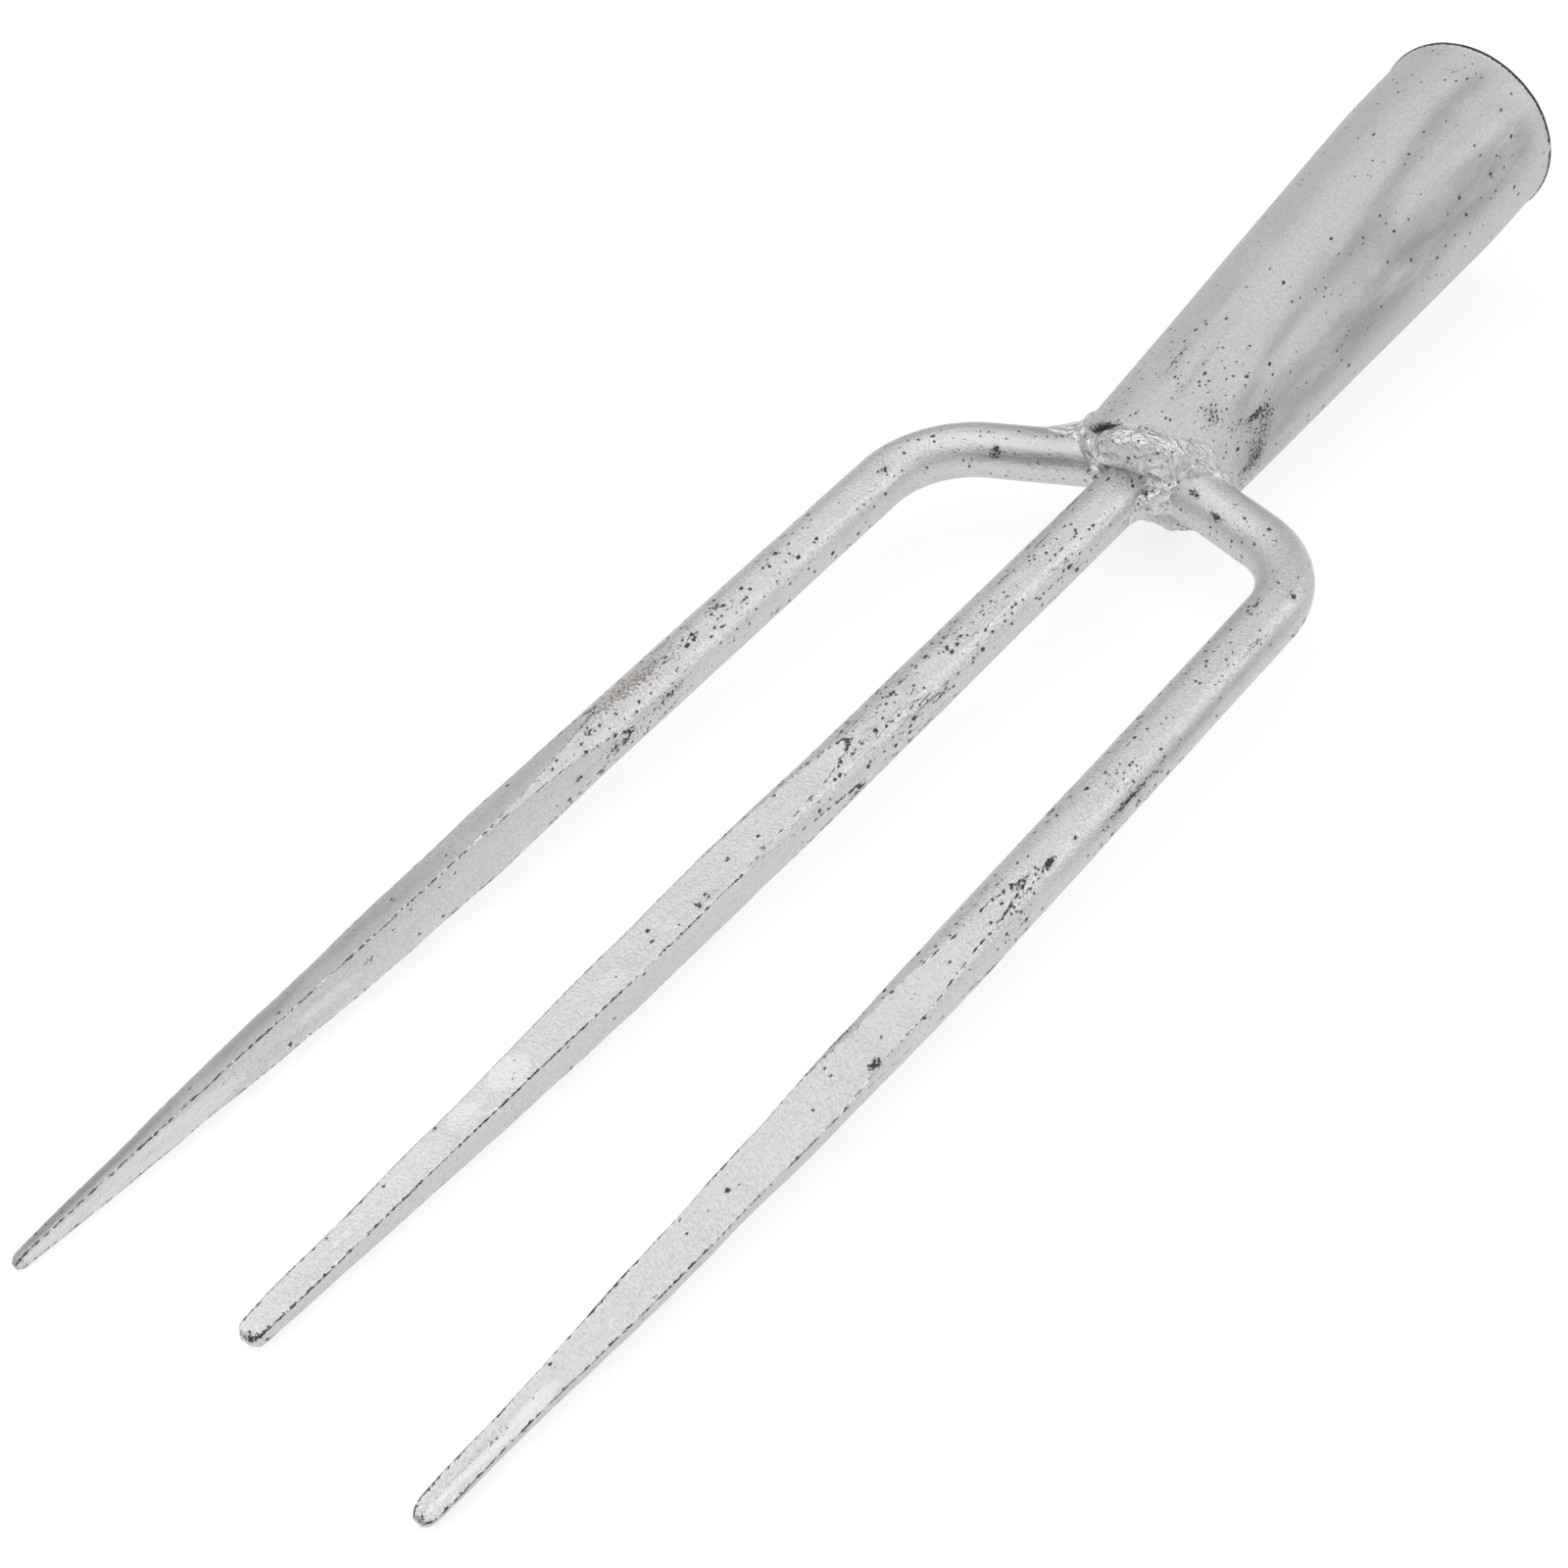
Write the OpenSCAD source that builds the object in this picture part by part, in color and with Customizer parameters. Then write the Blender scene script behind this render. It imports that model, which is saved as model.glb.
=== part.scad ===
// Head of a three-tined hay fork.
// A tapered steel socket takes the wooden handle. Two outer tines, bent from round bar,
// and a straight middle tine are welded into the socket's narrow end.
// The origin is the centre of the socket's mouth. +Y points out of the mouth, along the
// socket's axis, +X to the right tine, and +Z to the side that the tines rise to.

/* [Socket] */

// Outer diameter of the straight stretch at the mouth
mouth_d = 44; // [38:1:50]

// Wall thickness of the tube
wall = 2; // [1.5:0.5:3]

// Length of the straight stretch, which holds the end of the handle
straight_len = 23; // [15:1:30]

// Outer diameter of the taper where the front lip ends
narrow_d = 33; // [31:1:35]

// Length from the mouth to the end of the front lip
lip_len = 143; // [142:1:145]

// How far the raw edge of the mouth is spread outwards
rim_flare = 0.4; // [0:0.1:1]

/* [Bars] */

// Diameter of the round bar that all three tines are forged from
bar_d = 12; // [11:0.5:13]

// Distance between the two outer tines, centre to centre
tine_spacing = 96; // [90:1:110]

// Angle by which each arm sweeps from square across towards the tips
arm_sweep = 18.8; // [14:0.2:22]

// Radius of the bend at each shoulder, on the bar's centre line
bend_r = 21.5; // [18:0.5:26]

// Angle by which the tines rise from the line of the socket
tine_rise = 3.3; // [0:0.1:5]

// Length of an outer tine from the corner of its centre lines to its tip
outer_len = 263.5; // [240:0.5:290]

// Length of the middle tine from the crossing of the arms to its tip
middle_len = 269.5; // [245:0.5:295]

/* [Forged points] */

// Distance from the tip at which the bar stops being round
forge_start = 160; // [150:1:170]

// Side of the square where the forging is widest
square_side = 9.4; // [8.8:0.1:10]

// Turn of the left tine's square about its own length
left_roll = -16; // [-30:1:30]

// Turn of the middle tine's square about its own length
middle_roll = 9; // [-30:1:30]

// Turn of the right tine's square about its own length
right_roll = 25; // [-30:1:30]

/* [Hidden] */

$fn = 96;

bar_r = bar_d / 2;
mouth_r = mouth_d / 2;
narrow_r = narrow_d / 2;
bore_r = mouth_r - wall;

// Centre of the crossing of the two arms, behind the mouth and above the socket's axis
cross_y = -135.7;
cross_z = 1.1;

// Length from the mouth to the socket's edge at its sides and back
side_len = 131.5;

// Length of the spread part of the rim
flare_len = 1.5;

// Outer tines lean outwards, and the middle one leans to the left, by hand fitting
splay = 0.2;
middle_lean = 0.3;

// The middle tine's flat root clears the arms' crossing by this much past the bar's radius
root_gap = 0.5;

// Points round one ring of a forged point: a multiple of 8, so that the corners are on it
ring_n = 32;

// How far the hammered sides swell in the middle, as a share of their half width
side_crown = 0.03;

// Rings of a forged point. Each is [distance from the tip, width of the top face,
// height of the side face, radius that rounds the corners off, sideways shift, lift].
function forge_rings(tip_w, tip_h, tail) = [
    [forge_start + 2, bar_d * 0.97, bar_d * 0.97, bar_r * 0.97, 0, 0],
    [forge_start - 2, bar_d, bar_d, bar_r, 0, 0],
    [150, mix(bar_d, square_side, 0.35), mix(bar_d, square_side, 0.35), bar_r + 0.05, 0, 0],
    [140, mix(bar_d, square_side, 0.7), mix(bar_d, square_side, 0.7), bar_r + 0.3, 0, 0],
    [130, square_side, square_side, bar_d, tail.x * 0.04, tail.y * 0.04],
    [115, square_side * 0.97, square_side * 0.97, bar_d, tail.x * 0.1, tail.y * 0.1],
    [100, square_side * 0.92, square_side * 0.92, bar_d, tail.x * 0.17, tail.y * 0.17],
    [75, square_side * 0.83, square_side * 0.81, bar_d, tail.x * 0.3, tail.y * 0.3],
    [50, mix(tip_w, square_side, 0.42), mix(tip_h, square_side, 0.5), bar_d, tail.x * 0.5, tail.y * 0.5],
    [20, mix(tip_w, square_side, 0.13), mix(tip_h, square_side, 0.17), bar_d, tail.x * 0.83, tail.y * 0.83],
    [2.5, tip_w, tip_h, bar_d, tail.x, tail.y],
    [0, tip_w * 0.7, tip_h * 0.7, bar_d, tail.x, tail.y]
];

// Value between a and b
function mix(a, b, t) = a + (b - a) * t;

// Point on the outline of a rectangle with slightly crowned sides, its corners rounded off at radius r
function ring_point(w, h, r, a) =
    let (m = max(abs(cos(a)), abs(sin(a))))
    let (t = min(abs(cos(a)), abs(sin(a))) / m)
    let (p = [w / 2 * cos(a) / m, h / 2 * sin(a) / m] * (1 + side_crown * (1 - t * t)))
    p * min(1, r / norm(p));

// Forged point as one closed solid, lying along -Y with its tip at y = -reach
module forged_point(reach, rings, roll) {
    last = len(rings) - 1;
    points = [for (g = rings) for (k = [0:ring_n - 1])
        let (p = ring_point(g[1], g[2], g[3], k * 360 / ring_n))
        [p.x * cos(roll) + p.y * sin(roll) + g[4], g[0] - reach,
         p.y * cos(roll) - p.x * sin(roll) + g[5]]];
    sides = [for (i = [0:last - 1]) for (k = [0:ring_n - 1])
        let (a = i * ring_n + k, b = i * ring_n + (k + 1) % ring_n)
        each [[a, a + ring_n, b], [b, a + ring_n, b + ring_n]]];
    root_cap = [for (k = [0:ring_n - 1]) k];
    tip_cap = [for (k = [0:ring_n - 1]) last * ring_n + ring_n - 1 - k];
    polyhedron(points, concat([root_cap, tip_cap], sides));
}

// Round bar along -Y from y = -from to y = -to
module bar_back(from, to) {
    translate([0, -from, 0])
        rotate([90, 0, 0])
            cylinder(h = to - from, r = bar_r);
}

half_spacing = tine_spacing / 2;
bend_turn = 90 - arm_sweep - splay;
bend_leg = bend_r * tan(bend_turn / 2);
arm_len = half_spacing / cos(arm_sweep);

// Loss of radius where the bar is bent, and the angle by which the bend runs into the straights
bend_thinning = 0.05;
bend_lap = 1;

// Size of a block that reaches past the whole fork, for cutting
big = 500;

// Moves a solid from the plane of the tines, where y = 0 is the arms' crossing, to its place
module in_tine_plane() {
    translate([0, cross_y, cross_z])
        rotate([-tine_rise, 0, 0])
            children();
}

// Moves a solid from the centre of the right shoulder's bend, with X along the arm, into that plane
module at_shoulder() {
    rotate([0, 0, -arm_sweep])
        translate([arm_len - bend_leg, -bend_r, 0])
            children();
}

// Straight arm of the right tine, run past the crossing and cut at x = 0
module arm() {
    intersection() {
        at_shoulder()
            translate([0, bend_r, 0])
                rotate([0, -90, 0])
                    cylinder(h = arm_len, r = bar_r);
        translate([0, -big / 2, -big / 2])
            cube(big);
    }
}

// Bend at the right shoulder. The bar draws a hair thinner there, and its ends run on into
// the straight arm and leg.
module shoulder() {
    at_shoulder()
        rotate([0, 0, 90 - bend_turn - bend_lap])
            rotate_extrude(angle = bend_turn + 2 * bend_lap)
                translate([bend_r, 0])
                    circle(r = bar_r - bend_thinning);
}

// Straight leg of an outer tine and its forged point
module leg(tip_w, tip_h, roll, tail) {
    at_shoulder()
        rotate([0, 0, 90 - bend_turn])
            translate([bend_r, 0, 0]) {
                bar_back(0, outer_len - bend_leg - forge_start);
                forged_point(outer_len - bend_leg, forge_rings(tip_w, tip_h, tail), roll);
            }
}

// Both arms as one cutting shape for the welds
module both_arms() {
    in_tine_plane() {
        arm();
        mirror([1, 0, 0])
            arm();
    }
}

module right_tine() {
    color([0.76, 0.76, 0.76])
        in_tine_plane() {
            arm();
            shoulder();
            leg(5, 3, right_roll, [-1.95, 1.2]);
        }
}

module left_tine() {
    color([0.76, 0.76, 0.76])
        in_tine_plane()
            mirror([1, 0, 0]) {
                arm();
                shoulder();
                leg(2.3, 2.3, -left_roll, [0.2, 0.2]);
            }
}

// Round upper half of the middle tine
module middle_bar() {
    in_tine_plane()
        rotate([0, 0, -middle_lean])
            bar_back(bar_r + root_gap, middle_len - forge_start);
}

module middle_tine() {
    color([0.78, 0.78, 0.78]) {
        middle_bar();
        in_tine_plane()
            rotate([0, 0, -middle_lean])
                forged_point(middle_len, forge_rings(5, 2.6, [-1, 0.8]), middle_roll);
    }
}

// Outline of the socket from its axis outwards, drawn as radius against distance from the mouth
module socket_half_outline(inset) {
    polygon([
        [0, 0],
        [mouth_r - inset, 0],
        [mouth_r - inset, straight_len],
        [narrow_r - inset, lip_len],
        [0, lip_len]
    ]);
}

module along_socket() {
    rotate([90, 0, 0])
        rotate_extrude()
            children();
}

module socket_flare() {
    rotate([90, 0, 0])
        cylinder(h = flare_len, r1 = mouth_r + rim_flare, r2 = mouth_r);
}

// Everything past the socket's end: square across at the back and the sides, with a lip in front
module past_socket_end() {
    rotate([90, 0, 90])
        linear_extrude(height = mouth_d * 2, center = true)
            polygon([
                [-side_len, -mouth_d],
                [-side_len, 0],
                [-lip_len, narrow_r - wall],
                [-lip_len, mouth_d],
                [-lip_len - mouth_d, mouth_d],
                [-lip_len - mouth_d, -mouth_d]
            ]);
}

module socket() {
    color([0.75, 0.75, 0.75])
        difference() {
            union() {
                along_socket()
                    socket_half_outline(0);
                socket_flare();
            }
            along_socket()
                socket_half_outline(wall);
            past_socket_end();
        }
}

// Weld beads: a ring of weld metal along the socket's edge and a plug that closes its end
front_bead_r = 3;
front_bead_tilt = 34;
front_plug_from = 133;
front_plug_to = 145;
back_bead_r = 2.6;
back_plug_from = 127;
back_plug_to = 133.5;

module bead_arc(ring_r, bead_r, from, to) {
    rotate([90, 0, 0])
        rotate([0, 0, from])
            rotate_extrude(angle = to - from)
                translate([ring_r, 0])
                    circle(r = bead_r);
}

module plug(from, to, floor_z, height) {
    intersection() {
        translate([0, -from, 0])
            rotate([90, 0, 0])
                cylinder(h = to - from, r = narrow_r - wall + 0.6);
        translate([-mouth_d, -to - 1, floor_z])
            cube([mouth_d * 2, to - from + 2, height]);
    }
}

module front_weld() {
    color([0.86, 0.86, 0.85])
        difference() {
            union() {
                translate([0, -side_len, 0])
                    rotate([front_bead_tilt, 0, 0])
                        bead_arc(narrow_r, front_bead_r, -12, 192);
                plug(front_plug_from, front_plug_to, cross_z, mouth_r);
            }
            socket_solid();
            both_arms();
            middle_bar();
        }
}

module socket_solid() {
    difference() {
        along_socket()
            socket_half_outline(0);
        along_socket()
            socket_half_outline(wall);
        past_socket_end();
    }
}

module back_weld() {
    color([0.84, 0.84, 0.83])
        difference() {
            union() {
                translate([0, -side_len - 0.5, 0])
                    bead_arc(narrow_r, back_bead_r, 205, 335);
                plug(back_plug_from, back_plug_to, cross_z - mouth_r, mouth_r);
            }
            socket_solid();
            both_arms();
            middle_bar();
        }
}

// Web of weld metal in the crotch between the middle tine and the right arm
crotch_leg = 19;
crotch_reach = 14;
crotch_hollow_r = 8.7;
crotch_thickness = 7;
crotch_inner_x = 4.2;
crotch_top_y = -7.5;

module crotch_web() {
    difference() {
        in_tine_plane()
            translate([0, 0, -1])
                linear_extrude(height = crotch_thickness, center = true)
                    difference() {
                        polygon([
                            [crotch_inner_x, crotch_top_y],
                            [crotch_reach, crotch_top_y],
                            [crotch_reach, -crotch_leg],
                            [crotch_inner_x, -crotch_leg]
                        ]);
                        translate([bar_r + crotch_hollow_r, -crotch_leg])
                            circle(r = crotch_hollow_r);
                    }
        both_arms();
        middle_bar();
    }
}

module right_crotch_weld() {
    color([0.8, 0.8, 0.8])
        crotch_web();
}

module left_crotch_weld() {
    color([0.8, 0.8, 0.8])
        mirror([1, 0, 0])
            crotch_web();
}

socket();
left_tine();
middle_tine();
right_tine();
front_weld();
back_weld();
left_crotch_weld();
right_crotch_weld();
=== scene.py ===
# %% [markdown]
# # The head of a hay fork, in silver paint
# The fork head is a few pieces of mild steel: a tapered socket for the handle, three tines
# forged from round bar, and the welds that hold them. In this lesson each piece is modelled
# with ordinary mesh operators, and then painted with procedural materials.
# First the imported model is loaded. It is the ruler for everything else, so its box is kept.

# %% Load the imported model
import math
import bmesh
import bpy
from mathutils import Matrix, Vector, noise


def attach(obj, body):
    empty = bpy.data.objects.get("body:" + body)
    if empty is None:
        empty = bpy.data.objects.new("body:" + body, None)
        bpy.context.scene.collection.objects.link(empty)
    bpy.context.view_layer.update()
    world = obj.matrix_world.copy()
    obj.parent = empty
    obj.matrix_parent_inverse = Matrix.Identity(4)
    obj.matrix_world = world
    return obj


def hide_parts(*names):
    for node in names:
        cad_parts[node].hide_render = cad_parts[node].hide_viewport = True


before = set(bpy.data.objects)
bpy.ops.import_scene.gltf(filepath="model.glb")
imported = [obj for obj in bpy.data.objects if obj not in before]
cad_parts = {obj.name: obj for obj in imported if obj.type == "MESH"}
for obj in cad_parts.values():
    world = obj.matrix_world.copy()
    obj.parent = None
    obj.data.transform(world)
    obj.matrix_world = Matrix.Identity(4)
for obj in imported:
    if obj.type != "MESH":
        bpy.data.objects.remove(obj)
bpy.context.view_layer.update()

MM = 0.001
print("pieces in the packed model:", sorted(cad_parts))

# %% [markdown]
# ## Node helpers
# A material is a small graph of nodes. Wiring it by hand in Python takes several lines a node,
# so two helpers keep the later cells short: one adds a node and sets its sockets, the other
# adds a Math node.


# %% Helpers that add nodes
def add_node(tree, kind, settings=None, **sockets):
    """Adds a node. A socket's value is a number, a colour or another node's output."""
    made = tree.nodes.new(kind)
    for key, value in (settings or {}).items():
        setattr(made, key, value)
    for key, value in sockets.items():
        socket = made.inputs[key.replace("_", " ")]
        if isinstance(value, bpy.types.NodeSocket):
            tree.links.new(value, socket)
        else:
            socket.default_value = value
    return made


def math_node(tree, operation, first, second=0.0, clamp=False):
    made = tree.nodes.new("ShaderNodeMath")
    made.operation = operation
    made.use_clamp = clamp
    for socket, value in zip(made.inputs, (first, second)):
        if isinstance(value, bpy.types.NodeSocket):
            tree.links.new(value, socket)
        else:
            socket.default_value = value
    return made.outputs[0]


def ramp_between(tree, value, low, high):
    """0 where value is at or under low, 1 where it is at or over high, smooth between."""
    made = add_node(tree, "ShaderNodeMapRange", {"interpolation_type": "SMOOTHSTEP"},
                    Value=value, From_Min=low, From_Max=high)
    return made.outputs["Result"]


def mix_colours(tree, share, first, second):
    made = tree.nodes.new("ShaderNodeMix")
    made.data_type = "RGBA"
    for socket, value in ((made.inputs[0], share), (made.inputs[6], first), (made.inputs[7], second)):
        if isinstance(value, bpy.types.NodeSocket):
            tree.links.new(value, socket)
        else:
            socket.default_value = value
    return made.outputs[2]


def grey(level, warmth=0.0):
    return (level * (1 + warmth), level, level * (1 - warmth), 1.0)


# %% [markdown]
# ## Silver paint over forged steel
# The fork is painted with aluminium paint, brushed or dipped on over steel that still has its
# mill scale. Up close the paint is a neutral, satin metal with a fine grain. The scale under
# it leaves black pits, most of them drawn out along the bar, because the bar was rolled that
# way. Forged ridges lose their paint first, so they show as broken dark lines with bright
# chips. A picture could be wrapped round each piece instead, but nodes give the same grain at
# the real scale on every face, with no seams.
#
# Each pattern is fed one set of coordinates, called the place. On a straight piece it is the
# object's own position. On a bent tine it is an attribute that holds the position in the
# straight bar, so that the pits follow the bends.


# %% The paint, as one function for every piece
def worn_paint(name, place_attribute=None, tone=0.72, grain=1.0, roughness=0.42, ripple=0.0):
    """Silver paint. tone is its brightness, grain how coarse it feels, ripple how much it has run.
    place_attribute names the attribute that holds the place, where the piece is bent."""
    material = bpy.data.materials.new(name)
    material.use_nodes = True
    tree = material.node_tree
    tree.nodes.clear()
    if place_attribute:
        place = add_node(tree, "ShaderNodeAttribute", {"attribute_name": place_attribute}).outputs["Vector"]
    else:
        place = add_node(tree, "ShaderNodeTexCoord").outputs["Object"]

    def stretched(along, vector=place):
        return add_node(tree, "ShaderNodeMapping", Vector=vector, Scale=(1, along, 1)).outputs["Vector"]

    def noise_at(vector, per_mm, detail=2.0, roughness=0.5, output=0):
        made = add_node(tree, "ShaderNodeTexNoise", Vector=vector, Scale=per_mm / MM, Detail=detail,
                        Roughness=roughness)
        return made.outputs[output]

    def stored(attribute):
        return add_node(tree, "ShaderNodeAttribute", {"attribute_name": attribute}).outputs["Fac"]

    fine = noise_at(place, 1.5, 3.0, 0.7)
    grit = noise_at(place, 3.4, 2.0, 0.6)
    mottle = noise_at(stretched(0.25), 0.16, 3.0)
    jagged = noise_at(stretched(0.6), 1.4, 4.0, 0.65)
    broken = noise_at(stretched(0.7), 2.2, 3.0, 0.62)

    # Pits are spots round scattered points. Their coordinates are shaken, so that no spot is a
    # disc, and a share of the points is left out. Where the steel is scalier, fewer are.
    shaken = add_node(tree, "ShaderNodeVectorMath", {"operation": "MULTIPLY_ADD"})
    tree.links.new(noise_at(place, 2.3, 3.0, 0.7, output=1), shaken.inputs[0])
    shaken.inputs[1].default_value = (1.1 * MM, 1.6 * MM, 1.1 * MM)
    tree.links.new(place, shaken.inputs[2])
    scale_here = ramp_between(tree, noise_at(stretched(0.5), 0.13), 0.34, 0.60)
    scaly = math_node(tree, "MULTIPLY", stored("pitting"), scale_here)

    def pits(cell, radius, share):
        spot = add_node(tree, "ShaderNodeTexVoronoi", Vector=stretched(0.7, shaken.outputs[0]),
                        Scale=1 / (cell * MM))
        channels = add_node(tree, "ShaderNodeSeparateColor", Color=spot.outputs["Color"])
        size = math_node(tree, "MULTIPLY", channels.outputs["Green"], radius)
        inside = ramp_between(tree, math_node(tree, "SUBTRACT", size, spot.outputs["Distance"]), 0.0, 0.05)
        allowed = math_node(tree, "MULTIPLY", scaly, share)
        kept = math_node(tree, "LESS_THAN", channels.outputs["Red"], allowed)
        return math_node(tree, "MULTIPLY", inside, kept)

    pitted = math_node(tree, "MAXIMUM", pits(0.75, 0.46, 0.42), pits(1.5, 0.34, 0.46))
    pitted = math_node(tree, "MAXIMUM", pitted, pits(4.0, 0.19, 0.40))

    # Laps drawn out along the bar, a few mm long and a hair wide.
    lap = math_node(tree, "ABSOLUTE", math_node(tree, "SUBTRACT", noise_at(stretched(0.08), 1.0, 1.0), 0.5))
    lap = math_node(tree, "SUBTRACT", 1.0, ramp_between(tree, lap, 0.004, 0.011))
    here = ramp_between(tree, math_node(tree, "MULTIPLY", noise_at(stretched(0.3), 0.35), scaly), 0.50, 0.58)
    pitted = math_node(tree, "MAXIMUM", pitted, math_node(tree, "MULTIPLY", lap, here))

    # Ridges: the attribute holds the distance to the nearest ridge, in mm.
    uneven = math_node(tree, "SUBTRACT", jagged, 0.5)
    wander = math_node(tree, "MULTIPLY", uneven, 1.1)
    near_ridge = math_node(tree, "ADD", stored("ridge"), wander)
    line = math_node(tree, "SUBTRACT", 1.0, ramp_between(tree, near_ridge, 0.05, 0.16))
    line = math_node(tree, "MULTIPLY", line, ramp_between(tree, noise_at(stretched(0.5), 0.22), 0.30, 0.42))
    chip = math_node(tree, "SUBTRACT", 1.0, ramp_between(tree, near_ridge, 0.22, 0.40))
    chip = math_node(tree, "MULTIPLY", chip, ramp_between(tree, noise_at(stretched(0.5), 0.9), 0.52, 0.60))

    # Grime and rust: attributes hold soft patches, and the jagged noise breaks them into specks.
    def specks(attribute):
        rough = math_node(tree, "ADD", math_node(tree, "MULTIPLY", stored(attribute), 0.42), broken)
        return ramp_between(tree, rough, 0.785, 0.81)

    grime, rust = specks("grime"), specks("rust")
    smear = math_node(tree, "MULTIPLY", stored("grime"), 0.16, clamp=True)
    # Painted highlights: where the shine attribute is high, pale patches are painted into the colour, broken
    # up by the jagged noise.
    shine = math_node(tree, "ADD", stored("shine"), math_node(tree, "MULTIPLY", uneven, 0.5))
    shine = math_node(tree, "MULTIPLY", ramp_between(tree, shine, 0.36, 0.52), 0.75)
    # Painted dark reflections: where this attribute asks, soft grey bands are painted into the colour, broken
    # up by the mottle.
    shade = math_node(tree, "MULTIPLY", stored("shade"), ramp_between(tree, mottle, 0.20, 0.60), clamp=True)

    brightest = grey(min(0.97, tone * 1.35))
    paint = mix_colours(tree, mottle, grey(tone * 0.92), grey(tone * 1.06))
    paint = mix_colours(tree, math_node(tree, "MULTIPLY", ramp_between(tree, fine, 0.42, 0.68), 0.40), paint,
                        grey(tone * 0.62))
    paint = mix_colours(tree, math_node(tree, "MULTIPLY", ramp_between(tree, grit, 0.54, 0.64), 0.65), paint,
                        brightest)
    paint = mix_colours(tree, shade, paint, grey(tone * 0.42))
    # Bright chips on the ridges are wear; the shine patches mixed in with them are painted highlights.
    paint = mix_colours(tree, math_node(tree, "MAXIMUM", chip, shine), paint, brightest)
    paint = mix_colours(tree, smear, paint, grey(tone * 0.35, 0.04))
    paint = mix_colours(tree, math_node(tree, "MULTIPLY", rust, 0.7), paint, (0.20, 0.13, 0.09, 1))
    bare = math_node(tree, "MAXIMUM", math_node(tree, "MAXIMUM", pitted, line), grime)
    paint = mix_colours(tree, math_node(tree, "MULTIPLY", bare, 0.94), paint, grey(0.02, 0.06))

    dull = math_node(tree, "MAXIMUM", bare, rust)
    rough = math_node(tree, "ADD", math_node(tree, "MULTIPLY", mottle, 0.16), roughness - 0.08)
    rough = math_node(tree, "ADD", rough, math_node(tree, "MULTIPLY", dull, 0.35), clamp=True)
    metal = math_node(tree, "SUBTRACT", 0.86, math_node(tree, "MULTIPLY", dull, 0.7))

    height = math_node(tree, "MULTIPLY", fine, grain)
    height = math_node(tree, "ADD", height, math_node(tree, "MULTIPLY", grit, 0.35 * grain))
    dents = noise_at(stretched(0.35), 0.35, 2.0)
    height = math_node(tree, "ADD", height, math_node(tree, "MULTIPLY", dents, 1.2 * grain))
    height = math_node(tree, "SUBTRACT", height, math_node(tree, "MULTIPLY", bare, 0.5))
    if ripple:
        run = add_node(tree, "ShaderNodeTexNoise", Vector=stretched(2.0), Scale=0.17 / MM, Detail=3.0,
                       Roughness=0.5, Distortion=1.2)
        height = math_node(tree, "ADD", height, math_node(tree, "MULTIPLY", run.outputs[0], ripple))
    bump = add_node(tree, "ShaderNodeBump", Height=height, Strength=0.9, Distance=0.20 * MM)

    surface = add_node(tree, "ShaderNodeBsdfPrincipled", Base_Color=paint, Metallic=metal,
                       Roughness=rough, Normal=bump.outputs["Normal"])
    out = tree.nodes.new("ShaderNodeOutputMaterial")
    tree.links.new(surface.outputs["BSDF"], out.inputs["Surface"])
    return material


# One silver paint in three tones: the weld is paler and the socket darker, set to match how bright each piece
# looks under this light, so part of each difference is painted light and shade.
tine_paint = worn_paint("tine_silver", place_attribute="bar_place", tone=0.86, roughness=0.26)
socket_paint = worn_paint("socket_silver", tone=0.76, grain=0.5, roughness=0.54)
weld_paint = worn_paint("weld_silver", tone=0.92, grain=0.8, roughness=0.18, ripple=12.0)
print("paints:", [m.name for m in (tine_paint, socket_paint, weld_paint)])

# %% [markdown]
# ## From a bmesh to a finished piece
# Every piece ends the same way: faces turned outwards, smooth shading, a material, and the
# solid of the imported model that it stands for is hidden. Numbers worked
# out while shaping, such as how near a point is to a ridge, are stored on the points for the
# paint to read.


# %% The last steps of every piece
CLEAR_OF_RIDGE = 3.0  # mm: further than this from a ridge, the paint doesn't look at the distance
USUAL_MARKS = {"ridge": CLEAR_OF_RIDGE, "grime": 0.0, "rust": 0.0, "shine": 0.0, "shade": 0.0, "pitting": 0.4}


def finish_piece(name, mesh_in_hand, material, node, attributes=None):
    bmesh.ops.recalc_face_normals(mesh_in_hand, faces=mesh_in_hand.faces)
    for face in mesh_in_hand.faces:
        face.smooth = True
    mesh = bpy.data.meshes.new(name)
    mesh_in_hand.to_mesh(mesh)
    mesh_in_hand.free()
    attributes = dict(attributes or {})
    for key, usual in USUAL_MARKS.items():
        attributes.setdefault(key, [usual] * len(mesh.vertices))
    for key, values in attributes.items():
        wide = hasattr(values[0], "__len__")
        layer = mesh.attributes.new(key, "FLOAT_VECTOR" if wide else "FLOAT", "POINT")
        flat = [c for v in values for c in v] if wide else values
        layer.data.foreach_set("vector" if wide else "value", flat)
    mesh.materials.append(material)
    piece = bpy.data.objects.new(name, mesh)
    bpy.context.scene.collection.objects.link(piece)
    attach(piece, "root")
    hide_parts(node)
    corners = [[round(f(v.co[i] for v in mesh.vertices) / MM, 1) for i in range(3)] for f in (min, max)]
    print(f"{name}: {len(mesh.polygons)} faces, box {corners} mm")
    return piece


# %% [markdown]
# ## The line that a tine follows
# All three tines lie in one plane, which rises a little from the line of the socket. An outer
# tine starts at the crossing of the two arms, runs out along its arm, turns through the bend
# at the shoulder and goes straight on to its tip. The middle tine is straight. One function
# gives the place and the direction at any distance along a tine.

# %% The tines' centre lines
CROSSING = Vector((0, -135.7, 1.1))
RISE = math.radians(3.3)
HALF_SPACING = 48.0
ARM_SWEEP = math.radians(18.8)
BEND_R = 21.5
SPLAY = math.radians(0.2)
OUTER_LEN = 263.5
MIDDLE_LEN = 269.5
MIDDLE_LEAN = math.radians(0.3)
BAR_R = 6.0

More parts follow.
